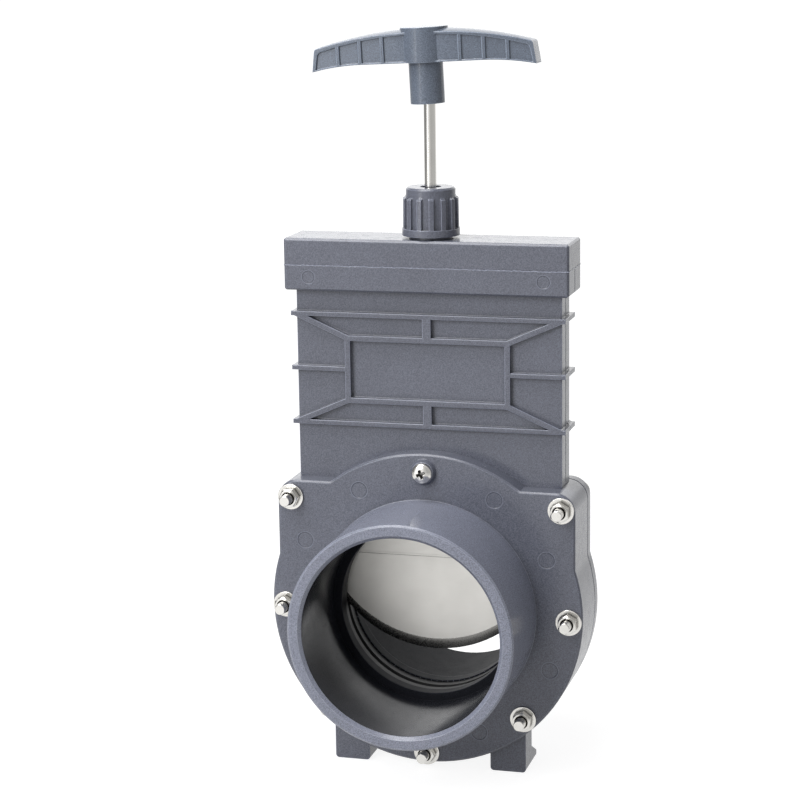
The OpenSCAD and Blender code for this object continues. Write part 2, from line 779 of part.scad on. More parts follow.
module washer(i, y) color(steel) at_bolt(i, y) difference() {
    cylinder(h = washer_t, r = washer_d / 2);
    translate([0, 0, -1]) cylinder(h = washer_t + 2, r = bolt_d / 2 + bolt_gap);
}

// Pan-head screw that holds the tower's tongue, pointing backwards from the boss
module tongue_screw() {
    head_t = 3;
    shank = face_y + screw_boss_h - chamber_half_d - 0.5;
    translate([0, -face_y - screw_boss_h, screw_z]) rotate([-90, 0, 0]) difference() {
        union() {
            cylinder(h = shank, r = screw_d / 2);
            translate([0, 0, -head_t + 1.2]) cylinder(h = head_t - 1.2, r = screw_head_d / 2);
            translate([0, 0, -head_t]) cylinder(h = 1.2 + eps, r1 = screw_head_d / 2 - 1.6, r2 = screw_head_d / 2);
        }
        for (a = [0, 90]) rotate([0, 0, a + 20]) translate([0, 0, -head_t + 0.9])
            cube([5, 1.2, 2], center = true);
    }
}

module front_screw() color(steel) at_bore() tongue_screw();

module rear_screw() color(steel) at_bore() facing(-1) tongue_screw();

front_body();
rear_body();
tower_front_shell();
tower_rear_shell();
tower_lid();
gland_nut();
gland_packing();
gland_follower();
front_seal();
rear_seal();
gate_plate();
stem_clevis();
clevis_rivet(1);  // clevis_rivet_1
clevis_rivet(2);  // clevis_rivet_2
rod();
handle();
front_screw();
rear_screw();
for (i = [1:bolt_count]) {
    bolt(i);
    bolt_nut(i);
    washer(i, -face_y);
    washer(i, face_y + washer_t);
}
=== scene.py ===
"""Finish, fasteners, light and camera for a slide valve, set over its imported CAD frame."""
import json
import math

import bmesh
import bpy
from bpy.props import FloatProperty, FloatVectorProperty, IntProperty, PointerProperty
from mathutils import Matrix, Vector


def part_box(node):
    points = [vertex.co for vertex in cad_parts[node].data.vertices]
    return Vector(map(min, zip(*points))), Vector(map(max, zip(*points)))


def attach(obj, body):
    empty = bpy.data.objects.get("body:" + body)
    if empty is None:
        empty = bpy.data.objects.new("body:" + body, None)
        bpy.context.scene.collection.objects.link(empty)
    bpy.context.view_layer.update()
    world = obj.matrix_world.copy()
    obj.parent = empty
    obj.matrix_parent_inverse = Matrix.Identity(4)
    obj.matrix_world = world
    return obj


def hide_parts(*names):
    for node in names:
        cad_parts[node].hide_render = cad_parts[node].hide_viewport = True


bl_info = {
    "name": "Slide Valve Finish",
    "version": (1, 0, 0),
    "blender": (4, 5, 0),
    "location": "View3D > Sidebar > Slide Valve",
    "description": "Finishes a slide valve: moulded plastic, steel gate, bolts, light and camera",
    "category": "Object",
}

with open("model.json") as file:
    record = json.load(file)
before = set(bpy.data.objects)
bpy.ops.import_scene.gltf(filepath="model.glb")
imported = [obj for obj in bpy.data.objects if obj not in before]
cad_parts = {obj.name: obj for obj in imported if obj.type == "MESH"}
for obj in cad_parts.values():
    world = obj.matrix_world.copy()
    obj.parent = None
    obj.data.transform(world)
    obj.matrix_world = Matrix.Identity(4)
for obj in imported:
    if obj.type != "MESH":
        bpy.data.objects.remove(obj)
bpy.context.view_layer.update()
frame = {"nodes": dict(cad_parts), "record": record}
NODES = frame["nodes"]
BOLTS = 7
MM = 0.001
WHITE = (1.0, 1.0, 1.0, 1.0)
UP = Vector((0.0, 0.0, 1.0))

# Light that reaches the object from all round, and its lamps: name, place, aim, size, watts
AMBIENT = 0.27
LAMPS = (
    ("Key softbox", (-0.75, -1.55, 1.05), (0.0, 0.0, 0.16), (1.0, 1.0), 17.6),
    ("Top softbox", (-0.34, -0.28, 1.4), (0.0, 0.0, 0.1), (0.8, 0.8), 12.5),
    ("Back panel", (-0.5, 2.0, 0.95), (0.0, 0.0, 0.25), (2.6, 1.5), 9.0),
    ("Left strip", (-0.72, -1.15, 0.36), (0.0, 0.0, 0.3), (0.12, 0.9), 1.3),
)

# The floor: its width, its gap under the feet, its grey, and its glow near the part and far off
FLOOR_WIDTH = 24.0
FLOOR_GAP = 0.0002
FLOOR_GREY = 0.30
FLOOR_GLOW = (0.89, 1.0)

# The camera: focal length and picture width in pixels, sensor in mm, place, direction,
# lean to one side in degrees, and upward shift as a share of the picture's width
FOCAL_PIXELS = 2396.8
PICTURE_PIXELS = 800.0
SENSOR_MM = 36.0
CAMERA_PLACE = (0.2735, -1.0287, 0.3922)
CAMERA_AHEAD = (-0.2648, 0.9423, -0.2048)
CAMERA_LEAN = 0.824
CAMERA_SHIFT = 0.0015

# Heights above the floor: the bore's axis, and the glued seam under the lid
BORE_Z = 0.076
SEAM_Z = 0.232

# How far each flange's outer face lies from the middle of the valve
FLANGE_Y = 0.018

# Inner radius of the sockets
SOCKET_R = frame["record"]["mounts"][0]["dims"]["r_mm"] * MM

# Marks of the mould pins: x and z on the flanges in mm from the bore's axis, x and z on the
# front shell's collar in metres from the floor, and the radius of each kind
FLANGE_PINS = ((-30.4, 54.5), (32.5, 53.1), (-56.5, 29.7), (56.3, 26.7),
               (57.7, -24.6), (24.8, -56.4), (-57.0, -24.6), (-24.8, -56.4))
COLLAR_PINS = ((-0.054, 0.2267), (0.054, 0.2274))
FLANGE_PIN_R = 0.0036
COLLAR_PIN_R = 0.0028

# Angles of the nuts' corners and of the bolt heads' corners, in degrees, bolt by bolt
NUT_TURNS = (5.0, 30.0, 30.0, 10.0, 23.5, 32.0, -3.4)
HEAD_TURNS = (47.0, 4.0, 21.0, 38.0, 55.0, 12.0, 29.0)

# The bolts: length of the thread, and the stretch over which it fades into the shank
THREAD_LENGTH = 0.011
THREAD_FADE = 0.0016

# The screws: height of the head, radius of the shank, angles of the recess's two slots, and
# the head's outline as shares of its radius and of its height
SCREW_HEAD = 0.003
SCREW_SHANK_R = 0.0019
RECESS_TURNS = (22.0, 112.0)
SCREW_CROWN = ((0.35, 0.98), (0.62, 0.90), (0.82, 0.76), (0.94, 0.58),
               (1.0, 0.36), (1.0, 0.08), (0.97, 0.0))

# How close two points of a mesh lie to be merged, and the angle taken for an edge that
# hasn't two faces, which is over any limit
WELD = 0.000002
OPEN_EDGE = 9.0


class ValveSizes(bpy.types.PropertyGroup):
    """Sizes of the finishing detail"""
    edge_round: FloatProperty(
        name="Edge rounding", description="Radius that softens the moulded edges in shading",
        default=0.0007, min=0.0001, max=0.002, subtype="DISTANCE", unit="LENGTH")
    across_flats: FloatProperty(
        name="Across flats", description="Width of the nuts and bolt heads",
        default=0.008, min=0.007, max=0.010, subtype="DISTANCE", unit="LENGTH")
    thread_radius: FloatProperty(
        name="Thread radius", description="Outer radius of the bolts",
        default=0.0025, min=0.002, max=0.003, subtype="DISTANCE", unit="LENGTH")
    thread_pitch: FloatProperty(
        name="Thread pitch", description="Pitch of the bolts' thread",
        default=0.0008, min=0.0005, max=0.0015, subtype="DISTANCE", unit="LENGTH")
    thread_depth: FloatProperty(
        name="Thread depth", description="Depth of the bolts' thread",
        default=0.00013, min=0.00005, max=0.0005, subtype="DISTANCE", unit="LENGTH")
    washer_rim: FloatProperty(
        name="Washer rim", description="Rounding of the washers' edges",
        default=0.0002, min=0.00005, max=0.0004, subtype="DISTANCE", unit="LENGTH")
    recess_width: FloatProperty(
        name="Recess width", description="Width of the screws' cross recess at its mouth",
        default=0.0015, min=0.0006, max=0.0020, subtype="DISTANCE", unit="LENGTH")
    bead_radius: FloatProperty(
        name="Glue bead", description="Radius of the glue squeezed out under the lid",
        default=0.00026, min=0.0001, max=0.001, subtype="DISTANCE", unit="LENGTH")
    bead_seed: IntProperty(
        name="Glue seed", description="Seed of the glue bead's unevenness", default=7, min=0)


class ValveColours(bpy.types.PropertyGroup):
    """Colours of the valve's finishes"""
    plastic: FloatVectorProperty(
        name="Plastic", description="Grey of the moulded plastic",
        default=(0.131, 0.139, 0.175), min=0.0, max=1.0, size=3, subtype="COLOR")
    handle: FloatVectorProperty(
        name="Handle", description="Bluer grey of the handle",
        default=(0.140, 0.166, 0.214), min=0.0, max=1.0, size=3, subtype="COLOR")
    steel: FloatVectorProperty(
        name="Steel", description="Tone of the stainless steel",
        default=(0.80, 0.785, 0.750), min=0.0, max=1.0, size=3, subtype="COLOR")
    rubber: FloatVectorProperty(
        name="Rubber", description="Black of the seals and the packing",
        default=(0.012, 0.012, 0.013), min=0.0, max=1.0, size=3, subtype="COLOR")


class Wire:
    """A shader socket that can be used in Python arithmetic"""

    def __init__(self, tree, socket):
        self.tree = tree
        self.socket = socket

    def math(self, operation, *others, swap=False):
        values = [self, *others]
        if swap:
            values.reverse()
        node = add(self.tree, "ShaderNodeMath", {"operation": operation}, dict(enumerate(values)))
        return Wire(self.tree, node.outputs[0])

    def __add__(self, other): return self.math("ADD", other)
    def __radd__(self, other): return self.math("ADD", other)
    def __sub__(self, other): return self.math("SUBTRACT", other)
    def __rsub__(self, other): return self.math("SUBTRACT", other, swap=True)
    def __mul__(self, other): return self.math("MULTIPLY", other)
    def __truediv__(self, other): return self.math("DIVIDE", other)
    def __abs__(self): return self.math("ABSOLUTE")

    def high(self, other):
        """The higher of the two values."""
        return self.math("MAXIMUM", other)

    def step(self, start, end, low=0.0, high=1.0):
        """A smooth step from low to high, between two values of the socket."""
        node = add(self.tree, "ShaderNodeMapRange", {"interpolation_type": "SMOOTHSTEP"}, {
            "Value": self, "From Min": start, "From Max": end, "To Min": low, "To Max": high})
        return Wire(self.tree, node.outputs[0])


def add(tree, kind, settings=None, inputs=None):
    """Adds a node: settings first, then the values or links of its sockets."""
    node = tree.nodes.new(kind)
    for name, value in (settings or {}).items():
        setattr(node, name, value)
    for name, value in (inputs or {}).items():
        socket = node.inputs[name]
        for one in value if isinstance(value, list) else [value]:
            if isinstance(one, Wire):
                tree.links.new(one.socket, socket)
            elif isinstance(one, bpy.types.NodeSocket):
                tree.links.new(one, socket)
            else:
                socket.default_value = one
    return node


def finish_of(name):
    """A new material, with its tree, its surface shader and its object coordinates."""
    material = bpy.data.materials.new(name)
    material.use_nodes = True
    tree = material.node_tree
    tree.nodes.clear()
    shader = add(tree, "ShaderNodeBsdfPrincipled")
    add(tree, "ShaderNodeOutputMaterial", inputs={"Surface": shader.outputs[0]})
    place = add(tree, "ShaderNodeTexCoord").outputs["Object"]
    return material, tree, shader, place


def noise(tree, place, scale, detail=3.0, stretch=(1.0, 1.0, 1.0), rough=0.5):
    """Noise over object coordinates, with features of about 1/scale metres."""
    mapping = add(tree, "ShaderNodeMapping", inputs={"Vector": place, "Scale": stretch})
    node = add(tree, "ShaderNodeTexNoise", inputs={
        "Vector": mapping.outputs[0], "Scale": scale, "Detail": detail, "Roughness": rough})
    return Wire(tree, node.outputs[0])


def axes(tree, place):
    """The x, y and z of a vector."""
    node = add(tree, "ShaderNodeSeparateXYZ", inputs={0: place})
    return [Wire(tree, node.outputs[i]) for i in range(3)]


def mixed(tree, factor, a, b):
    """Colour a turning into colour b."""
    node = add(tree, "ShaderNodeMix", {"data_type": "RGBA"}, {0: factor, 6: a, 7: b})
    return node.outputs[2]


def tone(colour, gain):
    """A colour made lighter or darker by a factor."""
    return tuple(min(1.0, c * gain) for c in colour[:3]) + (1.0,)


def soft_edges(tree, radius, samples=8, reach=0.003, alone=True):
    """A normal rounded at edges, with masks for painted highlight on outer edges and painted shade
    in inner corners.

    reach is how far the painted shade spreads from a corner, and alone keeps other pieces out of
    it.
    """
    soft = add(tree, "ShaderNodeBevel", {"samples": samples}, {"Radius": radius}).outputs[0]
    plain = add(tree, "ShaderNodeNewGeometry").outputs["Normal"]
    along = Wire(tree, add(tree, "ShaderNodeVectorMath", {"operation": "DOT_PRODUCT"},
                           {0: soft, 1: plain}).outputs["Value"])
    bare = Wire(tree, add(tree, "ShaderNodeAmbientOcclusion", {"samples": 6, "only_local": alone},
                          {"Distance": reach}).outputs["AO"])
    outer = along.step(0.8, 0.998, 1.0, 0.0) * bare.step(0.7, 0.9)
    return soft, outer, bare.step(0.25, 0.9, 1.0, 0.0)


def moulded_plastic(name, sizes, base, marks=None, gain=1.0, shine=0.5, rough=0.20):
    """Glossy moulding with painted highlight on outer edges, painted shade in inner corners,
    speckle and optional marks.

    marks takes the tree and its coordinates, and returns a height in metres, a darkness
    and a paleness. gain lightens the whole colour, shine is the strength of reflections
    and rough their blur.
    """
    base = tone(base, gain)
    material, tree, shader, place = finish_of(name)
    grain = noise(tree, place, 2700.0, 1.0)
    flow = noise(tree, place, 26.0, 3.0, (1.0, 1.0, 0.5), 0.6)
    soft, outer, inner = soft_edges(tree, sizes.edge_round)
    shade = 0.5 + (flow - 0.5) * 0.4 + (grain - 0.5) * 1.7
    colour = mixed(tree, shade, tone(base, 0.58), tone(base, 1.46))
    # Painted shade darkens the inner corners, and a painted highlight lightens the outer edges
    colour = mixed(tree, inner * 0.45, colour, tone(base, 0.25))
    colour = mixed(tree, outer * 0.7, colour, tone(base, 3.6))
    height = flow * 0.00004
    if marks:
        mark_height, dark, pale = marks(tree, place)
        height = height + mark_height
        # The marks' dark and pale parts: a dark glued joint, and painted shade and painted
        # highlight at pin marks and the socket's foot
        colour = mixed(tree, dark, colour, tone(base, 0.3))
        colour = mixed(tree, pale, colour, tone(base, 2.4))
    scuff = noise(tree, place, 240.0, 4.0, rough=0.7).step(0.35, 0.8) * 0.08
    bump = add(tree, "ShaderNodeBump", inputs={
        "Height": height, "Distance": 1.0, "Strength": 1.0, "Normal": soft})
    tree.links.new(colour, shader.inputs["Base Color"])
    tree.links.new(bump.outputs[0], shader.inputs["Normal"])
    tree.links.new((scuff + rough).socket, shader.inputs["Roughness"])
    shader.inputs["IOR"].default_value = 1.53
    shader.inputs["Specular IOR Level"].default_value = shine
    return material


def pin_marks(centres, radius, y_low, y_high):
    """Shallow sunk discs left by round mould pins on a face that looks along Y, with painted shade
    inside each rim and a painted highlight outside it.
    """
    def marks(tree, place):
        x, y, z = axes(tree, place)
        sunk, edge, rim = None, None, None
        for cx, cz in centres:
            r = ((x - cx) * (x - cx) + (z - cz) * (z - cz)).math("SQRT")
            disc = r.step(radius - 0.0002, radius + 0.0002, 1.0, 0.0)
            # Painted shade as a dark line inside each rim, and a painted highlight as a pale ring
            # outside it
            line = abs(r - radius + 0.0001).step(0.00005, 0.0003, 1.0, 0.0)
            ring = abs(r - radius - 0.0003).step(0.00005, 0.0003, 1.0, 0.0)
            sunk = disc if sunk is None else sunk.high(disc)
            edge = line if edge is None else edge.high(line)
            rim = ring if rim is None else rim.high(ring)
        on_face = y.step(y_low, y_low + 0.0002) * y.step(y_high, y_high + 0.0002, 1.0, 0.0)
        return sunk * on_face * -0.00022, edge * on_face * 0.4, rim * on_face * 0.4
    return marks


def painted_foot_highlight(radius, pins):
    """Thin painted highlight round the foot of the socket, with other marks."""
    def marks(tree, place):
        height, dark, pale = pins(tree, place)
        x, _, z = axes(tree, place)
        r = (x * x + (z - BORE_Z) * (z - BORE_Z)).math("SQRT")
        # Painted highlight: a pale line on the fillet round the socket's foot
        return height, dark, pale.high(abs(r - radius).step(0.0, 0.00035, 0.55, 0.0))
    return marks


def seam_marks(seam, pins=None):
    """Broken dark line where two mouldings are glued at a height, with other marks if given."""
    def marks(tree, place):
        z = axes(tree, place)[2]
        wave = noise(tree, place, 210.0, 3.0, (1.0, 1.0, 0.0), 0.7)
        level = z - seam - (wave - 0.5) * 0.0007
        line = abs(level).step(0.0001, 0.00032, 1.0, 0.0)
        broken = noise(tree, place, 140.0, 2.0, (1.0, 1.0, 0.0)).step(0.42, 0.56)
        dark = line * broken * 0.8
        height = abs(level).step(0.0, 0.0005, 1.0, 0.0) * -0.00018
        if not pins:
            return height, dark, 0.0
        pin_height, pin_dark, pale = pins(tree, place)
        return height + pin_height, dark.high(pin_dark), pale
    return marks


def brushed_steel(name, colours, stretch, rough, scale, depth=0.000004, gain=1.0, dent=0.0,
                  crevice_painted_shade=0.0):
    """Stainless steel with a grain that stretch draws out along an axis.

    rough is the blur of reflections, scale the grain's fineness, depth its height and dent
    the height of small dents, both in metres, and crevice the strength of the shade painted into
    inner corners.
    """
    material, tree, shader, place = finish_of(name)
    lines = noise(tree, place, scale, 3.0, stretch, 0.6)
    cloud = noise(tree, place, 55.0, 3.0)
    dull, bright = tone(colours.steel, 0.93 * gain), tone(colours.steel, gain)
    colour = mixed(tree, cloud.step(0.3, 0.7), dull, bright)
    height = lines * depth
    if dent:
        height = height + noise(tree, place, 620.0, 2.0) * dent
    soft, _, inner = soft_edges(tree, 0.0002, samples=6, reach=0.0015, alone=False)
    # Painted shade: inner corners turn towards near black
    colour = mixed(tree, inner.step(0.1, 0.6) * crevice_painted_shade, colour, tone(colours.steel, 0.08))
    bump = add(tree, "ShaderNodeBump", inputs={
        "Height": height, "Distance": 1.0, "Strength": 1.0, "Normal": soft})
    tree.links.new(colour, shader.inputs["Base Color"])
    tree.links.new(bump.outputs[0], shader.inputs["Normal"])
    tree.links.new((rough + lines.step(0.3, 0.7) * 0.08).socket, shader.inputs["Roughness"])
    shader.inputs["Metallic"].default_value = 1.0
    return material


def glue_finish(name, colours):
    """Pale, glossy set glue."""
    material, tree, shader, place = finish_of(name)
    cloud = noise(tree, place, 900.0, 2.0)
    colour = mixed(tree, cloud, tone(colours.plastic, 0.9), tone(colours.plastic, 3.4))
    tree.links.new(colour, shader.inputs["Base Color"])
    tree.links.new((0.15 + cloud * 0.2).socket, shader.inputs["Roughness"])
    shader.inputs["IOR"].default_value = 1.5
    return material


def soft_rubber(name, colours):
    """Matt black rubber with a fine bloom."""
    material, tree, shader, place = finish_of(name)
    bloom = noise(tree, place, 500.0, 4.0)
    colour = mixed(tree, bloom.step(0.3, 0.8), tone(colours.rubber, 1.0), tone(colours.rubber, 2.2))
    bump = add(tree, "ShaderNodeBump", inputs={"Height": bloom * 0.00003, "Distance": 1.0})
    tree.links.new(colour, shader.inputs["Base Color"])
    tree.links.new(bump.outputs[0], shader.inputs["Normal"])
    tree.links.new((0.5 + bloom * 0.2).socket, shader.inputs["Roughness"])
    return material


def wear(node, material):
    """Gives a CAD node one material."""
    slots = NODES[node].data.materials
    slots.clear()
    slots.append(material)


def new_piece(name, mesh, material=None):
    """A mesh put into the scene, with one material if given."""
    piece = bpy.data.objects.new(name, mesh)
    bpy.context.scene.collection.objects.link(piece)
    if material:
        mesh.materials.clear()
        mesh.materials.append(material)
    return piece


def flat_regions(shape, limit=math.radians(0.6)):
    """The area of the flat region that each face belongs to."""
    region, areas = {}, []
    for first in shape.faces:
        if first.index in region:
            continue
        region[first.index] = len(areas)
        stack, total = [first], 0.0
        while stack:
            face = stack.pop()
            total += face.calc_area()
            for edge in face.edges:
                if len(edge.link_faces) == 2 and edge.calc_face_angle(OPEN_EDGE) < limit:
                    for other in edge.link_faces:
                        if other.index not in region:
                            region[other.index] = len(areas)
                            stack.append(other)
        areas.append(total)
    return {index: areas[k] for index, k in region.items()}


def corner_normals(shape, limit):
    """Normals of the face corners: smooth up to an angle, and led by the larger flat face."""
    weight = flat_regions(shape)
    normals = {}
    for vert in shape.verts:
        links = {face.index: [] for face in vert.link_faces}
        faces = {face.index: face for face in vert.link_faces}
        for edge in vert.link_edges:
            if len(edge.link_faces) == 2 and edge.calc_face_angle(OPEN_EDGE) < limit:
                one, two = (face.index for face in edge.link_faces)
                links[one].append(two)
                links[two].append(one)
        left = set(links)
        while left:
            stack = [left.pop()]
            group = list(stack)
            while stack:
                for other in links[stack.pop()]:
                    if other in left:
                        left.discard(other)
                        stack.append(other)
                        group.append(other)
            total = Vector()
            for index in group:
                total += faces[index].normal * weight[index]
            total.normalize()
            for index in group:
                normals[index, vert.index] = total
    return [normals[face.index, loop.vert.index] for face in shape.faces for loop in face.loops]


def sharpened(mesh, angle=30.0):
    """Merges a mesh's doubles, points its faces outwards and smooths it up to an angle."""
    shape = bmesh.new()
    shape.from_mesh(mesh)
    bmesh.ops.remove_doubles(shape, verts=shape.verts, dist=WELD)
    bmesh.ops.recalc_face_normals(shape, faces=shape.faces)
    shape.verts.index_update()
    shape.faces.index_update()
    shape.normal_update()
    normals = corner_normals(shape, math.radians(angle))
    shape.to_mesh(mesh)
    shape.free()
    mesh.shade_smooth()
    mesh.set_sharp_from_angle(angle=math.radians(angle))
    mesh.normals_split_custom_set(normals)


def settled(piece):
    """The piece with its modifiers worked into its mesh."""
    bpy.context.view_layer.update()
    graph = bpy.context.evaluated_depsgraph_get()
    mesh = bpy.data.meshes.new_from_object(piece.evaluated_get(graph))
    old = piece.data
    piece.modifiers.clear()
    piece.data = mesh
    bpy.data.meshes.remove(old)
    if not mesh.polygons:
        raise RuntimeError(piece.name + " has no faces")
    sharpened(mesh)
    return piece


def set_on(centre, axis):
    """The matrix that moves the origin to a centre and turns the Z axis along an axis."""
    turn = UP.rotation_difference(Vector(axis)).to_matrix().to_4x4()
    return Matrix.Translation(centre) @ turn


def smooth_copy(name, node, material, body):
    """A smoothly shaded piece that stands for a CAD node, with the node's own shape."""
    piece = new_piece(name, NODES[node].data.copy(), material)
    sharpened(piece.data)
    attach(piece, body)
    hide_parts(node)
    return piece


class Former:
    """A Geometry Nodes tree with named sizes, which makes a plain mesh piece"""

    def __init__(self, name, material, **sizes):
        self.name = name
        self.tree = bpy.data.node_groups.new(name, "GeometryNodeTree")
        face = self.tree.interface
        face.new_socket("Geometry", in_out="INPUT", socket_type="NodeSocketGeometry")
        face.new_socket("Geometry", in_out="OUTPUT", socket_type="NodeSocketGeometry")
        self.values = {}
        for label, value in sizes.items():
            socket = face.new_socket(label, in_out="INPUT", socket_type="NodeSocketFloat")
            self.values[socket.identifier] = float(value)
        inlet = self.tree.nodes.new("NodeGroupInput")
        self.start = inlet.outputs["Geometry"]
        self.size = {label: Wire(self.tree, inlet.outputs[label]) for label in sizes}
        self.material = material

    def add(self, kind, settings=None, inputs=None):
        """Adds a node to the piece's own tree."""
        return add(self.tree, kind, settings, inputs)

    def vector(self, x=0.0, y=0.0, z=0.0):
        return self.add("ShaderNodeCombineXYZ", inputs={0: x, 1: y, 2: z}).outputs[0]

    def moved(self, shape, z, turn=(0.0, 0.0, 0.0)):
        """The shape turned, then moved up."""
        node = self.add("GeometryNodeTransform", inputs={
            "Geometry": shape, "Translation": self.vector(z=z), "Rotation": turn})
        return node.outputs[0]

    def column(self, radius, low, high, sides=48, rings=1):
        """Closed cylinder on the Z axis between two heights."""
        node = self.add("GeometryNodeMeshCylinder", {"fill_type": "NGON"}, {
            "Vertices": sides, "Side Segments": rings, "Radius": radius, "Depth": high - low})
        return self.moved(node.outputs["Mesh"], (high + low) * 0.5)

    def cone(self, low_radius, high_radius, low, high, sides=64):
        """Closed cone on the Z axis between two heights."""
        node = self.add("GeometryNodeMeshCone", {"fill_type": "NGON"}, {
            "Vertices": sides, "Radius Bottom": low_radius, "Radius Top": high_radius,
            "Depth": high - low})
        return self.moved(node.outputs["Mesh"], low)

    def common(self, *shapes):
        """What all the shapes share."""
        node = self.add("GeometryNodeMeshBoolean", {"operation": "INTERSECT", "solver": "EXACT"},
                        {1: list(shapes)})
        return node.outputs["Mesh"]

    def without(self, shape, *cuts):
        """The shape less the cuts."""
        node = self.add("GeometryNodeMeshBoolean", {"operation": "DIFFERENCE", "solver": "EXACT"},
                        {0: shape, 1: list(cuts)})
        return node.outputs["Mesh"]

    def joined(self, *shapes):
        return self.add("GeometryNodeJoinGeometry", inputs={"Geometry": list(shapes)}).outputs[0]

    def hexagon(self, height):
        """Hexagon standing on the origin, its far corners turned off at 30 degrees."""
        across, flat = self.size["Across flats"], 0.475
        prism = self.column(across / math.sqrt(3), 0.0, height, 6)
        cone = self.cone(across * flat + height * math.sqrt(3), across * flat, 0.0, height)
        return self.common(prism, cone)

    def nut(self, height):
        """Bored hexagon, countersunk at its far face."""
        radius, slack, past = self.size["Thread radius"], 0.00008, 0.001
        bore = self.column(radius + slack, -past, height + past)
        sink = self.cone(radius - 0.0002, radius + 0.0007, height - 0.0008, height + 0.0001)
        return self.without(self.hexagon(height), bore, sink)

    def bolt(self, length, thread, head):
        """Bolt on the Z axis: its head below the origin, its threaded end at the top."""
        radius, pitch, depth = (self.size[label] for label in (
            "Thread radius", "Thread pitch", "Thread depth"))
        sides, ring_step, chamfer, overlap = 28, 0.00013, 0.0002, 0.0001
        start = length - thread
        blank = self.column(radius, start, length, sides, round(thread / ring_step))
        x, y, z = axes(self.tree, self.add("GeometryNodeInputPosition").outputs[0])
        ridge = (y.math("ARCTAN2", x) / math.tau + z / pitch).math("PINGPONG", 0.5) * 2.0
        point = (z - (length - chamfer)).high(0.0)
        shrink = (ridge * depth * z.step(start, start + THREAD_FADE) + point) / radius * -1.0
        screw = self.add("GeometryNodeSetPosition", inputs={
            "Geometry": blank, "Offset": self.vector(x * shrink, y * shrink)})
        shank = self.column(radius, 0.0, start + overlap, sides)
        top = self.moved(self.hexagon(head), 0.0, (math.pi, 0.0, 0.0))
        return self.joined(screw.outputs[0], shank, top)

    def washer(self, inner, outer, thick):
        """Flat ring standing on the origin, with rounded rims."""
        section = self.add("GeometryNodeCurvePrimitiveQuadrilateral", {"mode": "RECTANGLE"},
                           {"Width": outer - inner, "Height": thick})
        rounded = self.add("GeometryNodeFilletCurve", {"mode": "POLY"}, {
            "Curve": section.outputs[0], "Count": 3, "Radius": self.size["Washer rim"]})
        ring = self.add("GeometryNodeCurvePrimitiveCircle", {"mode": "RADIUS"},
                        {"Resolution": 64, "Radius": (outer + inner) * 0.5})
        flat = self.add("GeometryNodeCurveToMesh", inputs={
            "Curve": ring.outputs[0], "Profile Curve": rounded.outputs[0]})
        return self.moved(flat.outputs[0], thick * 0.5)

    def bead(self, width, depth, height):
        """Uneven bead of glue round a rectangle at a height."""
        around = self.add("GeometryNodeCurvePrimitiveQuadrilateral", {"mode": "RECTANGLE"},
                          {"Width": width, "Height": depth})
        line = self.add("GeometryNodeResampleCurve", {"mode": "LENGTH"},
                        {"Curve": around.outputs[0], "Length": 0.0006})
        place = self.add("GeometryNodeInputPosition").outputs[0]
        coarse, fine = (Wire(self.tree, self.add("ShaderNodeTexNoise", {"noise_dimensions": "4D"}, {
            "Vector": place, "W": self.size["Seed"], "Scale": scale, "Detail": 2.0}).outputs[0])
            for scale in (170.0, 700.0))
        waver = (fine - 0.5) * 0.0012 + (coarse - 0.5) * 0.0004
        moved = self.add("GeometryNodeSetPosition", inputs={
            "Geometry": line.outputs[0], "Offset": self.vector(z=waver)})
        swell = coarse.step(0.47, 0.6, 0.05, 1.2) * fine.step(0.3, 0.7, 0.4, 1.9)
        sized = self.add("GeometryNodeSetCurveRadius", inputs={
            "Curve": moved.outputs[0], "Radius": swell})
        section = self.add("GeometryNodeCurvePrimitiveCircle", {"mode": "RADIUS"},
                           {"Resolution": 8, "Radius": self.size["Radius"]})
        rope = self.add("GeometryNodeCurveToMesh", inputs={
            "Curve": sized.outputs[0], "Profile Curve": section.outputs[0]})
        return self.moved(rope.outputs[0], height)

    def on_points(self, shape):
        """The shape on each starting point, turned by the point's own attribute."""
        turn = self.add("GeometryNodeInputNamedAttribute", {"data_type": "FLOAT_VECTOR"},
                        {"Name": "turn"})
        node = self.add("GeometryNodeInstanceOnPoints", inputs={
            "Points": self.start, "Instance": shape, "Rotation": turn.outputs["Attribute"]})
        return node.outputs[0]

    def piece(self, shape, mesh):
        """Ends the tree, runs it on the starting mesh and gives the piece that it makes."""
        real = self.add("GeometryNodeRealizeInstances", inputs={"Geometry": shape})
        done = self.add("GeometryNodeSetMaterial", inputs={
            "Geometry": real.outputs[0], "Material": self.material})
        self.add("NodeGroupOutput", inputs={"Geometry": done.outputs[0]})
        piece = new_piece(self.name, mesh)
        modifier = piece.modifiers.new("Former", "NODES")
        modifier.node_group = self.tree
        for identifier, value in self.values.items():
            modifier[identifier] = value
        return settled(piece)


def points(name, places, turns):
    """A mesh of points, each with a turn about its own place."""
    mesh = bpy.data.meshes.new(name)
    mesh.from_pydata(places, [], [])
    layer = mesh.attributes.new("turn", "FLOAT_VECTOR", "POINT")
    for item, turn in zip(layer.data, turns):
        item.vector = turn
    return mesh


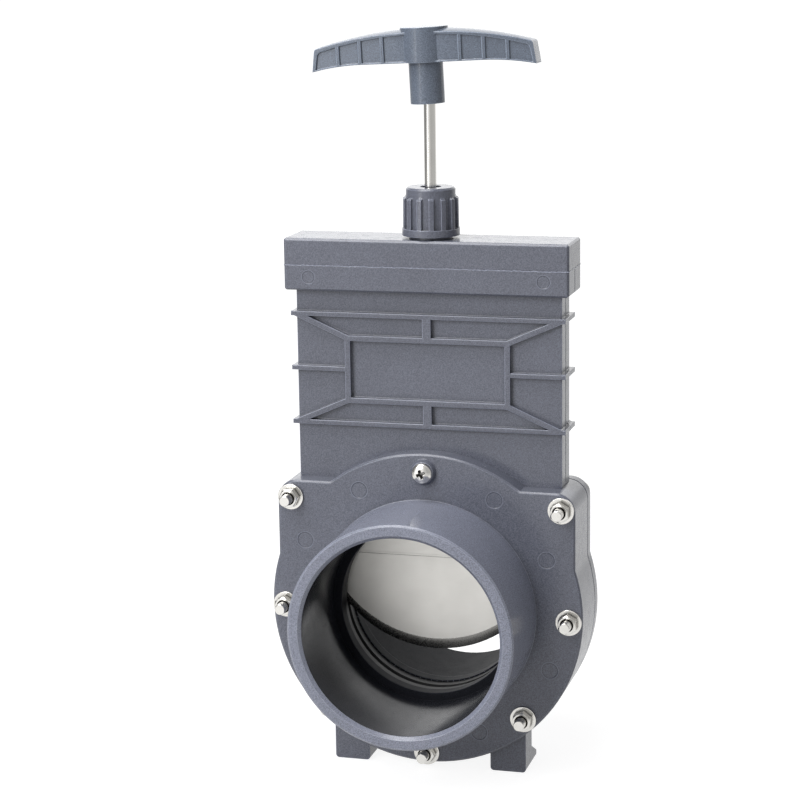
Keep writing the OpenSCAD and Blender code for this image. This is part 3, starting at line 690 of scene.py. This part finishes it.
def lathe(name, profile, steps, centre, axis, material):
    """A closed turned mesh from (radius, height) points, set on a centre along an axis."""
    shape = bmesh.new()
    rings = []
    for radius, height in profile:
        if radius < 1e-7:
            rings.append([shape.verts.new((0.0, 0.0, height))])
            continue
        rings.append([shape.verts.new((radius * math.cos(2 * math.pi * k / steps),
                                       radius * math.sin(2 * math.pi * k / steps), height))
                      for k in range(steps)])
    for low, high in zip(rings, rings[1:]):
        for k in range(steps):
            j = (k + 1) % steps
            if len(low) == 1 and len(high) > 1:
                shape.faces.new((low[0], high[j], high[k]))
            elif len(high) == 1 and len(low) > 1:
                shape.faces.new((low[k], low[j], high[0]))
            elif len(low) > 1:
                shape.faces.new((low[k], low[j], high[j], high[k]))
    shape.transform(set_on(centre, axis))
    mesh = bpy.data.meshes.new(name)
    shape.to_mesh(mesh)
    shape.free()
    sharpened(mesh)
    return new_piece(name, mesh, material)


def settings():
    """The sizes and the colours that a user can change."""
    scene = bpy.context.scene
    return scene.valve_sizes, scene.valve_colours


def studio(x, y):
    """How bright the studio reflects along a direction over the ground, and its distance.

    It is bright behind the valve and in a window at the left front, less so straight in
    front, and dark at the sides, the left one most.
    """
    far = (x * x + y * y).math("SQRT").high(0.001)
    x, y = x / far, y / far
    behind = y.step(0.35, 0.75)
    window = (x * -0.44 - y * 0.898).step(0.80, 0.93)
    front = (y * -1.0).step(0.7, 1.0) * 0.6
    return (0.36 + x * 0.16).high(behind).high(window).high(front), far


def ray_kinds(tree):
    """Whether a ray is the camera's, straight or through glass, and whether it is glossy."""
    path = add(tree, "ShaderNodeLightPath")
    straight, through, glossy = (Wire(tree, path.outputs[f"Is {kind} Ray"])
                                 for kind in ("Camera", "Transmission", "Glossy"))
    return straight.high(through), glossy


class VALVE_OT_stage(bpy.types.Operator):
    """Set up the floor, the studio light and the camera"""
    bl_idname = "valve.stage"
    bl_label = "Stage"

    def execute(self, context):
        scene = context.scene
        scene.view_settings.view_transform = "Standard"
        self.world(scene)
        self.floor()
        self.lamps()
        self.camera(scene)
        return {"FINISHED"}

    def world(self, scene):
        """White to the camera, the studio to reflections, and an even light to the rest."""
        world = bpy.data.worlds.new("Studio")
        scene.world = world
        world.use_nodes = True
        tree = world.node_tree
        tree.nodes.clear()
        seen, glossy = ray_kinds(tree)
        x, y, z = axes(tree, add(tree, "ShaderNodeTexCoord").outputs["Generated"])
        # Reflections see the studio under a bright ceiling
        room = studio(x, y)[0].high(z.step(0.5, 0.85) * 0.7)
        strength = seen + (1.0 - seen) * (glossy * room + (1.0 - glossy) * AMBIENT)
        light = add(tree, "ShaderNodeBackground", inputs={"Color": WHITE, "Strength": strength})
        add(tree, "ShaderNodeOutputWorld", inputs={"Surface": light.outputs[0]})

    def floor(self):
        """A floor that renders white, takes shadows and reflects as the studio does."""
        bpy.ops.mesh.primitive_plane_add(size=FLOOR_WIDTH, location=(0.0, 0.0, -FLOOR_GAP))
        floor = bpy.context.active_object
        floor.name = "floor"
        material, tree, shader, place = finish_of("White sweep")
        shader.inputs["Base Color"].default_value = tone(WHITE, FLOOR_GREY)
        shader.inputs["Roughness"].default_value = 1.0
        shader.inputs["Specular IOR Level"].default_value = 0.0
        seen, glossy = ray_kinds(tree)
        x, y, _ = axes(tree, place)
        room, far = studio(x, y)
        # Close to the part the floor is bright in reflections from all sides
        room = room.high(far.step(0.25, 0.6, 0.86, 0.0)) * 0.86
        white = far.step(0.9, 2.2, *FLOOR_GLOW)
        glow = add(tree, "ShaderNodeEmission", inputs={
            "Strength": glossy * room + (1.0 - glossy) * white})
        shown = add(tree, "ShaderNodeAddShader", inputs={0: shader.outputs[0], 1: glow.outputs[0]})
        plain = add(tree, "ShaderNodeBsdfDiffuse", inputs={"Color": tone(WHITE, 0.5)})
        pick = add(tree, "ShaderNodeMixShader", inputs={
            0: seen.high(glossy), 1: plain.outputs[0], 2: shown.outputs[0]})
        for node in tree.nodes:
            if node.type == "OUTPUT_MATERIAL":
                tree.links.new(pick.outputs[0], node.inputs["Surface"])
        floor.data.materials.append(material)

    def lamps(self):
        """Lights the valve with soft lamps that the camera doesn't see."""
        for name, place, aim, size, power in LAMPS:
            data = bpy.data.lights.new(name, "AREA")
            data.shape = "RECTANGLE"
            data.size, data.size_y = size
            data.energy = power
            lamp = bpy.data.objects.new(name, data)
            lamp.location = place
            lamp.rotation_euler = (Vector(aim) - Vector(place)).to_track_quat("-Z", "Y").to_euler()
            lamp.visible_camera = False
            bpy.context.scene.collection.objects.link(lamp)

    def camera(self, scene):
        """Sets the camera, leaned a little about the way it looks."""
        data = bpy.data.cameras.new("Camera")
        data.sensor_width = SENSOR_MM
        data.lens = FOCAL_PIXELS / PICTURE_PIXELS * SENSOR_MM
        data.shift_y = CAMERA_SHIFT
        camera = bpy.data.objects.new("Camera", data)
        ahead = Vector(CAMERA_AHEAD).normalized()
        side = ahead.cross(UP).normalized()
        top = side.cross(ahead)
        lean = math.radians(CAMERA_LEAN)
        right = side * math.cos(lean) - top * math.sin(lean)
        up = side * math.sin(lean) + top * math.cos(lean)
        turn = Matrix((right, up, -ahead)).transposed().to_4x4()
        camera.matrix_world = Matrix.Translation(CAMERA_PLACE) @ turn
        scene.collection.objects.link(camera)
        scene.camera = camera


class VALVE_OT_bodies(bpy.types.Operator):
    """Finish the two socket bodies with their mould marks, painted shade in the bores and painted
    light on the sockets' outsides
    """
    bl_idname = "valve.bodies"
    bl_label = "Socket bodies"

    def execute(self, context):
        sizes, colours = settings()
        centres = [(x * MM, z * MM + BORE_Z) for x, z in FLANGE_PINS]
        # Painted shade: the bore and the waterway are the bodies' own plastic made darker, the
        # waterway darkest, and their reflections are weakened too
        bore_painted_shade = moulded_plastic("Bore plastic with painted shade", sizes, colours.plastic, gain=0.24, shine=0.1)
        waterway_painted_shade = moulded_plastic("Waterway plastic with painted shade", sizes, colours.plastic,
                               gain=0.14, shine=0.02, rough=0.4)
        # Painted light: the sockets' outsides are the same plastic made lighter
        socket = moulded_plastic("Socket plastic with painted light", sizes, colours.plastic, gain=1.75)
        in_socket_painted_shade, on_socket_painted_light, in_waterway_painted_shade = 1, 2, 3
        for side, face in (("front", -FLANGE_Y), ("rear", FLANGE_Y)):
            corners = [vertex.co for vertex in NODES[f"{side}_body"].data.vertices]
            foot = min(math.hypot(corner.x, corner.z - BORE_Z) for corner in corners
                       if abs(corner.y - face) < 0.00001)
            pins = pin_marks(centres, FLANGE_PIN_R, face - 0.0004, face + 0.0004)
            plastic = moulded_plastic(f"{side.capitalize()} body plastic", sizes, colours.plastic,
                                      painted_foot_highlight(foot, pins))
            mesh = smooth_copy(f"{side}_body_finish", f"{side}_body", plastic, "housing").data
            for finish in (bore_painted_shade, socket, waterway_painted_shade):
                mesh.materials.append(finish)
            for flat in mesh.polygons:
                r = math.hypot(flat.center.x, flat.center.z - BORE_Z)
                if r < SOCKET_R + 0.0003:
                    seen = side == "front" and r > SOCKET_R - 0.0008
                    flat.material_index = in_socket_painted_shade if seen else in_waterway_painted_shade
                elif r < foot and abs(flat.center.y) > FLANGE_Y + 0.0002:
                    flat.material_index = on_socket_painted_light
        return {"FINISHED"}


class VALVE_OT_tower(bpy.types.Operator):
    """Finish the tower shells and the lid"""
    bl_idname = "valve.tower"
    bl_label = "Tower"

    def execute(self, context):
        sizes, colours = settings()
        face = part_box("tower_front_shell")[0].y
        pins = pin_marks(COLLAR_PINS, COLLAR_PIN_R, face - 0.0003, face + 0.0003)
        front = moulded_plastic("Front shell plastic", sizes, colours.plastic,
                                seam_marks(SEAM_Z, pins))
        plain = moulded_plastic("Lid plastic", sizes, colours.plastic, seam_marks(SEAM_Z))
        smooth_copy("tower_front_finish", "tower_front_shell", front, "housing")
        smooth_copy("tower_rear_finish", "tower_rear_shell", plain, "housing")
        smooth_copy("tower_lid_finish", "tower_lid", plain, "housing")
        return {"FINISHED"}


class VALVE_OT_seam(bpy.types.Operator):
    """Lay the squeezed-out glue in the seam under the lid"""
    bl_idname = "valve.seam"
    bl_label = "Glue seam"

    def execute(self, context):
        sizes, colours = settings()
        glue = glue_finish("Glue", colours)
        low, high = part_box("tower_lid")
        former = Former("lid_glue", glue, Radius=sizes.bead_radius, Seed=sizes.bead_seed)
        sunk = 0.0002
        rope = former.bead(high.x - low.x - sunk, high.y - low.y - sunk, SEAM_Z)
        bead = former.piece(rope, points("lid_glue", [(0.0, 0.0, 0.0)], [(0.0, 0.0, 0.0)]))
        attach(bead, "housing")
        return {"FINISHED"}


class VALVE_OT_gland(bpy.types.Operator):
    """Finish the gland nut, its follower and the packing"""
    bl_idname = "valve.gland"
    bl_label = "Gland"

    def execute(self, context):
        sizes, colours = settings()
        plastic = moulded_plastic("Gland plastic", sizes, colours.plastic)
        smooth_copy("gland_nut_finish", "gland_nut", plastic, "gland")
        smooth_copy("gland_follower_finish", "gland_follower", plastic, "housing")
        packing = soft_rubber("Packing", colours)
        smooth_copy("gland_packing_finish", "gland_packing", packing, "housing")
        return {"FINISHED"}


class VALVE_OT_handle(bpy.types.Operator):
    """Finish the T handle"""
    bl_idname = "valve.handle"
    bl_label = "Handle"

    def execute(self, context):
        sizes, colours = settings()
        plastic = moulded_plastic("Handle plastic", sizes, colours.handle)
        smooth_copy("handle_finish", "handle", plastic, "gate")
        return {"FINISHED"}


class VALVE_OT_gate(bpy.types.Operator):
    """Finish the steel gate, its clevis and rivets, the rod and the seals"""
    bl_idname = "valve.gate"
    bl_label = "Gate and rod"

    def execute(self, context):
        colours = settings()[1]
        gate = brushed_steel("Gate steel", colours, (0.04, 1.0, 1.0), rough=0.36, scale=2600.0,
                             depth=0.0000022, gain=0.84)
        # Painted reflection: the gate's edge faces are its steel made dark, for the dark bore that
        # they reflect
        rim = brushed_steel("Gate rim steel with painted dark reflection", colours, (0.3, 1.0, 0.3), rough=0.24, scale=2600.0,
                            depth=0.000001, gain=0.3)
        rod = brushed_steel("Rod steel", colours, (1.0, 1.0, 0.03), rough=0.14, scale=2400.0)
        mesh = smooth_copy("gate_plate_finish", "gate_plate", gate, "gate").data
        mesh.materials.append(rim)
        square_on = 0.985
        for face in mesh.polygons:
            face.material_index = int(abs(face.normal.y) < square_on)
        for node in ("stem_clevis", "clevis_rivet_1", "clevis_rivet_2"):
            wear(node, gate)
        smooth_copy("rod_finish", "rod", rod, "gate")
        seal = soft_rubber("Seal rubber", colours)
        for side in ("front", "rear"):
            smooth_copy(f"{side}_seal_finish", f"{side}_seal", seal, "housing")
        return {"FINISHED"}


class VALVE_OT_fasteners(bpy.types.Operator):
    """Make the flange bolts, their nuts and their washers"""
    bl_idname = "valve.fasteners"
    bl_label = "Bolts"

    def execute(self, context):
        sizes, colours = settings()
        # Painted shade darkens the corners round the nuts, heads and washers
        steel = brushed_steel("Fastener steel", colours, (1.0, 1.0, 1.0), rough=0.15, scale=1500.0,
                              depth=0.0000005, gain=0.93, crevice_painted_shade=0.85)
        forward, back = math.pi / 2, -math.pi / 2
        numbers = range(1, BOLTS + 1)
        boxes = {kind: [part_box(f"{kind}_{k}") for k in numbers]
                 for kind in ("bolt", "bolt_nut", "nut_washer", "head_washer")}
        middles = [(low + high) / 2 for low, high in boxes["bolt"]]

        def places(kind, corner):
            """Points on the bolts' axes, at the low (0) or the high (1) end of a kind's boxes."""
            return [(m.x, box[corner].y, m.z) for m, box in zip(middles, boxes[kind])]

        seat = boxes["head_washer"][0][1].y
        tip, head = boxes["bolt"][0][0].y, boxes["bolt"][0][1].y
        nut_low, nut_high = boxes["bolt_nut"][0]
        washer_low, washer_high = boxes["nut_washer"][0]
        common = {"Thread radius": sizes.thread_radius, "Across flats": sizes.across_flats}

        former = Former("flange_bolts", steel, **common,
                        **{"Thread pitch": sizes.thread_pitch, "Thread depth": sizes.thread_depth})
        shape = former.on_points(former.bolt(seat - tip, THREAD_LENGTH, head - seat))
        turns = [(forward, -math.radians(a), 0.0) for a in HEAD_TURNS]
        bolts = former.piece(shape, points("flange_bolts", places("head_washer", 1), turns))

        former = Former("flange_nuts", steel, **common)
        shape = former.on_points(former.nut(nut_high.y - nut_low.y))
        turns = [(forward, -math.radians(a), 0.0) for a in NUT_TURNS]
        nuts = former.piece(shape, points("flange_nuts", places("bolt_nut", 1), turns))

        former = Former("flange_washers", steel, **{"Washer rim": sizes.washer_rim})
        inner = sizes.thread_radius + 0.00015
        outer = (washer_high.x - washer_low.x) / 2
        shape = former.on_points(former.washer(inner, outer, washer_high.y - washer_low.y))
        spots = places("nut_washer", 1) + places("head_washer", 0)
        turns = [(forward, 0.0, 0.0)] * BOLTS + [(back, 0.0, 0.0)] * BOLTS
        washers = former.piece(shape, points("flange_washers", spots, turns))

        for piece, kinds in ((bolts, ("bolt",)), (nuts, ("bolt_nut",)),
                             (washers, ("nut_washer", "head_washer"))):
            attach(piece, "housing")
            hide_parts(*[f"{kind}_{k}" for kind in kinds for k in numbers])
        return {"FINISHED"}


class VALVE_OT_screws(bpy.types.Operator):
    """Make the cross-recess screws that hold the tower's tongue"""
    bl_idname = "valve.screws"
    bl_label = "Cross-recess screws"

    def execute(self, context):
        sizes, colours = settings()
        zinc = brushed_steel("Screw zinc", colours, (1.0, 1.0, 1.0), rough=0.15, scale=1500.0,
                             dent=0.00005)
        # Painted shade: the cross recess is the screw's steel made dark
        recess_painted_shade = brushed_steel("Recess steel with painted shade", colours, (1.0, 1.0, 1.0), rough=0.35, scale=1500.0,
                            gain=0.35)
        for side, way in (("front", -1.0), ("rear", 1.0)):
            low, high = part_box(f"{side}_screw")
            radius = (high.x - low.x) / 2
            outer, inner = (low.y, high.y) if way < 0 else (high.y, low.y)
            seat = Vector(((low.x + high.x) / 2, outer - way * SCREW_HEAD, (low.z + high.z) / 2))
            length = abs(seat.y - inner)
            profile = [(0.0, SCREW_HEAD)] + [(r * radius, h * SCREW_HEAD) for r, h in SCREW_CROWN]
            profile += [(SCREW_SHANK_R, 0.0), (SCREW_SHANK_R, -length), (0.0, -length)]
            screw = lathe(f"{side}_screw_finish", profile[::-1], 64, seat, (0.0, way, 0.0), zinc)
            cutters = []
            for k, angle in enumerate(RECESS_TURNS):
                cutter = self.wedge(angle, sizes.recess_width, seat, way)
                cutter.data.materials.append(recess_painted_shade)
                cut = screw.modifiers.new(f"Recess {k}", "BOOLEAN")
                cut.operation = "DIFFERENCE"
                cut.solver = "EXACT"
                cut.material_mode = "TRANSFER"
                cut.object = cutter
                cutters.append(cutter)
            settled(screw)
            for cutter in cutters:
                bpy.data.objects.remove(cutter)
            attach(screw, "housing")
            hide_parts(f"{side}_screw")
        return {"FINISHED"}

    def wedge(self, angle, width, seat, way):
        """Tapering blade that cuts one slot of the recess."""
        top = (0.0023, width / 2, SCREW_HEAD + 0.0002)
        foot = (0.0011, width / 4, SCREW_HEAD - 0.0026)
        corners = [(sx * size[0], sy * size[1], size[2])
                   for size in (top, foot) for sx, sy in ((-1, -1), (1, -1), (1, 1), (-1, 1))]
        faces = [(0, 1, 2, 3), (7, 6, 5, 4)]
        faces += [(k, k + 4, (k + 1) % 4 + 4, (k + 1) % 4) for k in range(4)]
        mesh = bpy.data.meshes.new("Recess blade")
        mesh.from_pydata(corners, [], faces)
        turn = Matrix.Rotation(math.radians(angle), 4, "Z")
        mesh.transform(set_on(seat, (0.0, way, 0.0)) @ turn)
        sharpened(mesh)
        return new_piece("Recess blade", mesh)


class VALVE_PT_panel(bpy.types.Panel):
    """Lists the steps that finish the valve"""
    bl_label = "Slide Valve"
    bl_idname = "VALVE_PT_panel"
    bl_space_type = "VIEW_3D"
    bl_region_type = "UI"
    bl_category = "Slide Valve"

    def draw(self, context):
        """Shows every size, every colour and a button for each step."""
        scene = context.scene
        for group in (scene.valve_sizes, scene.valve_colours):
            for name in group.bl_rna.properties.keys():
                if name not in ("rna_type", "name"):
                    self.layout.prop(group, name)
        for step in STEPS:
            self.layout.operator(step.bl_idname)


STEPS = (VALVE_OT_stage, VALVE_OT_bodies, VALVE_OT_tower, VALVE_OT_seam, VALVE_OT_gland,
         VALVE_OT_handle, VALVE_OT_gate, VALVE_OT_fasteners, VALVE_OT_screws)
CLASSES = (ValveSizes, ValveColours, *STEPS, VALVE_PT_panel)


def register():
    """Adds the sizes, the colours, the steps and the panel to Blender."""
    for item in CLASSES:
        bpy.utils.register_class(item)
    bpy.types.Scene.valve_sizes = PointerProperty(type=ValveSizes)
    bpy.types.Scene.valve_colours = PointerProperty(type=ValveColours)


def unregister():
    """Takes them out again."""
    del bpy.types.Scene.valve_colours
    del bpy.types.Scene.valve_sizes
    for item in reversed(CLASSES):
        bpy.utils.unregister_class(item)


def main():
    """Runs every step."""
    register()
    for step in STEPS:
        group, name = step.bl_idname.split(".")
        getattr(getattr(bpy.ops, group), name)()


if __name__ == "__main__":
    main()
